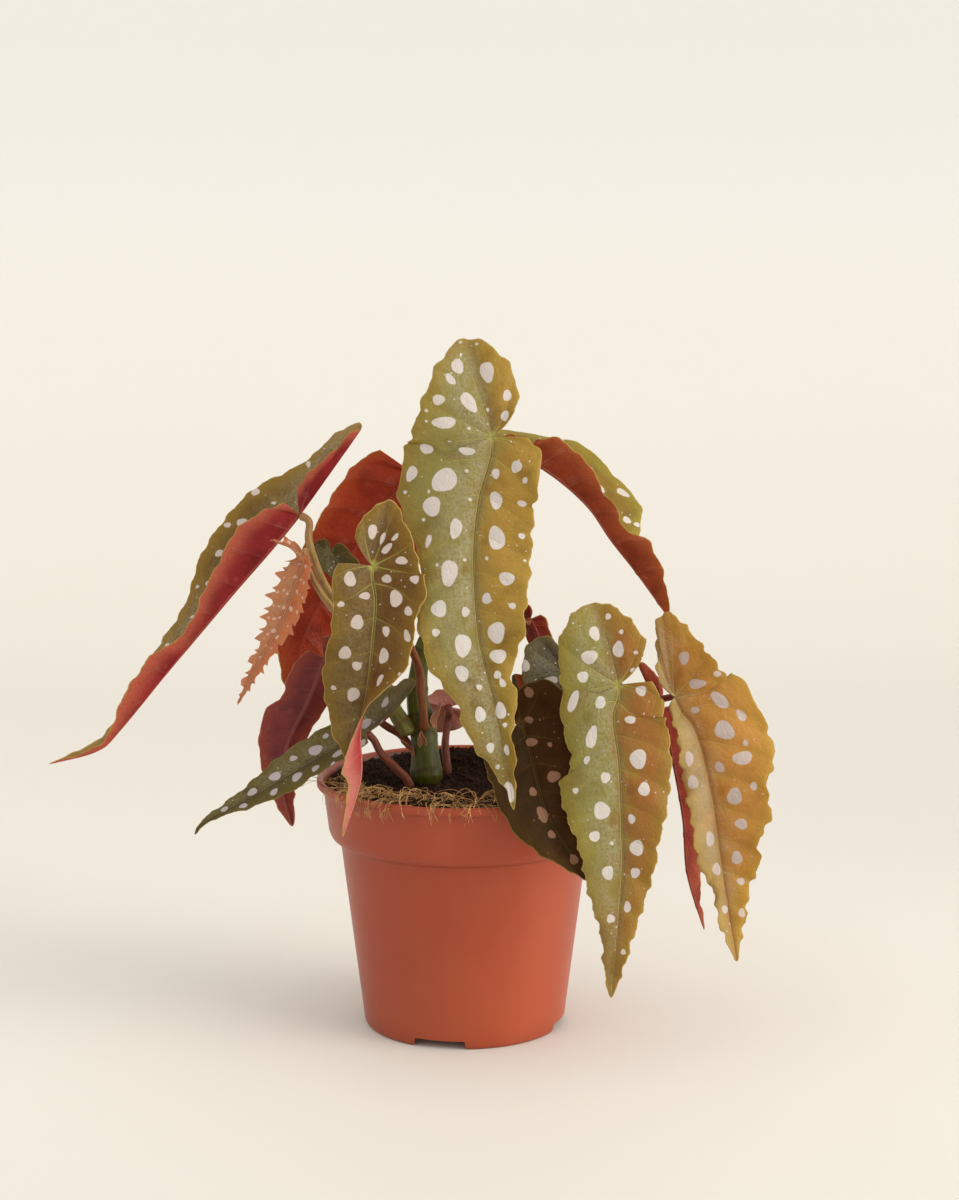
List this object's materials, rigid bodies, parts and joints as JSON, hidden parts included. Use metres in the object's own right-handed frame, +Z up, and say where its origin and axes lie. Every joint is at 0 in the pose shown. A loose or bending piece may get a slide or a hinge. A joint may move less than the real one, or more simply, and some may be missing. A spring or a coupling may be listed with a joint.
{
  "type": "potted polka dot begonia",
  "caption": "Polka dot begonia houseplant with long angel-wing leaves on green canes, growing in a round moulded nursery pot filled with soil.",
  "frame": {"origin": "middle of the plant's bounding box at floor level, under the pot's foot plane", "axes": "+Z up, -Y towards the front of the plant, +X to the viewer's right when facing the front"},
  "size_m": [0.2834, 0.1402, 0.2802],
  "materials": {
    "terracotta_plastic": "satin",
    "soil": "matte",
    "coir": "matte",
    "cane_green": "satin",
    "petiole": "satin",
    "leaf_olive": "satin",
    "leaf_underside": "satin",
    "leaf_dark": "satin",
    "leaf_young": "satin",
    "dry_bract": "matte"
  },
  "bodies": {
    "root": {"cane_left": "cane_green", "cane_main": "cane_green", "cane_right": "cane_green", "coir_litter": "coir", "leaf_back_pink": "leaf_underside", "leaf_front_dark": "leaf_dark", "leaf_front_left_small": "leaf_olive", "leaf_front_tall": "leaf_olive", "leaf_inner_dark": "leaf_dark", "leaf_inner_red": "leaf_underside", "leaf_left_back": "leaf_underside", "leaf_left_long": "leaf_olive", "leaf_left_low": "leaf_dark", "leaf_left_purple": "leaf_underside", "leaf_left_young": "leaf_young", "leaf_right_arch": "leaf_olive", "leaf_right_front": "leaf_olive", "leaf_right_grey": "leaf_olive", "leaf_right_outer": "leaf_olive", "leaf_right_red_edge": "leaf_underside", "leaf_withered": "dry_bract", "petiole_back_pink": "petiole", "petiole_front_dark": "petiole", "petiole_front_left": "petiole", "petiole_front_tall": "petiole", "petiole_inner_dark": "petiole", "petiole_inner_red": "petiole", "petiole_left_back": "petiole", "petiole_left_long": "petiole", "petiole_left_low": "petiole", "petiole_left_purple": "petiole", "petiole_left_young": "petiole", "petiole_right_arch": "petiole", "petiole_right_front": "petiole", "petiole_right_grey": "petiole", "petiole_right_outer": "petiole", "petiole_right_red": "petiole", "petiole_withered": "petiole", "pot": "terracotta_plastic", "potting_soil": "soil", "stipule_left": "dry_bract", "stipule_low": "dry_bract", "stipule_upper": "dry_bract"}
  },
  "joints": []
}
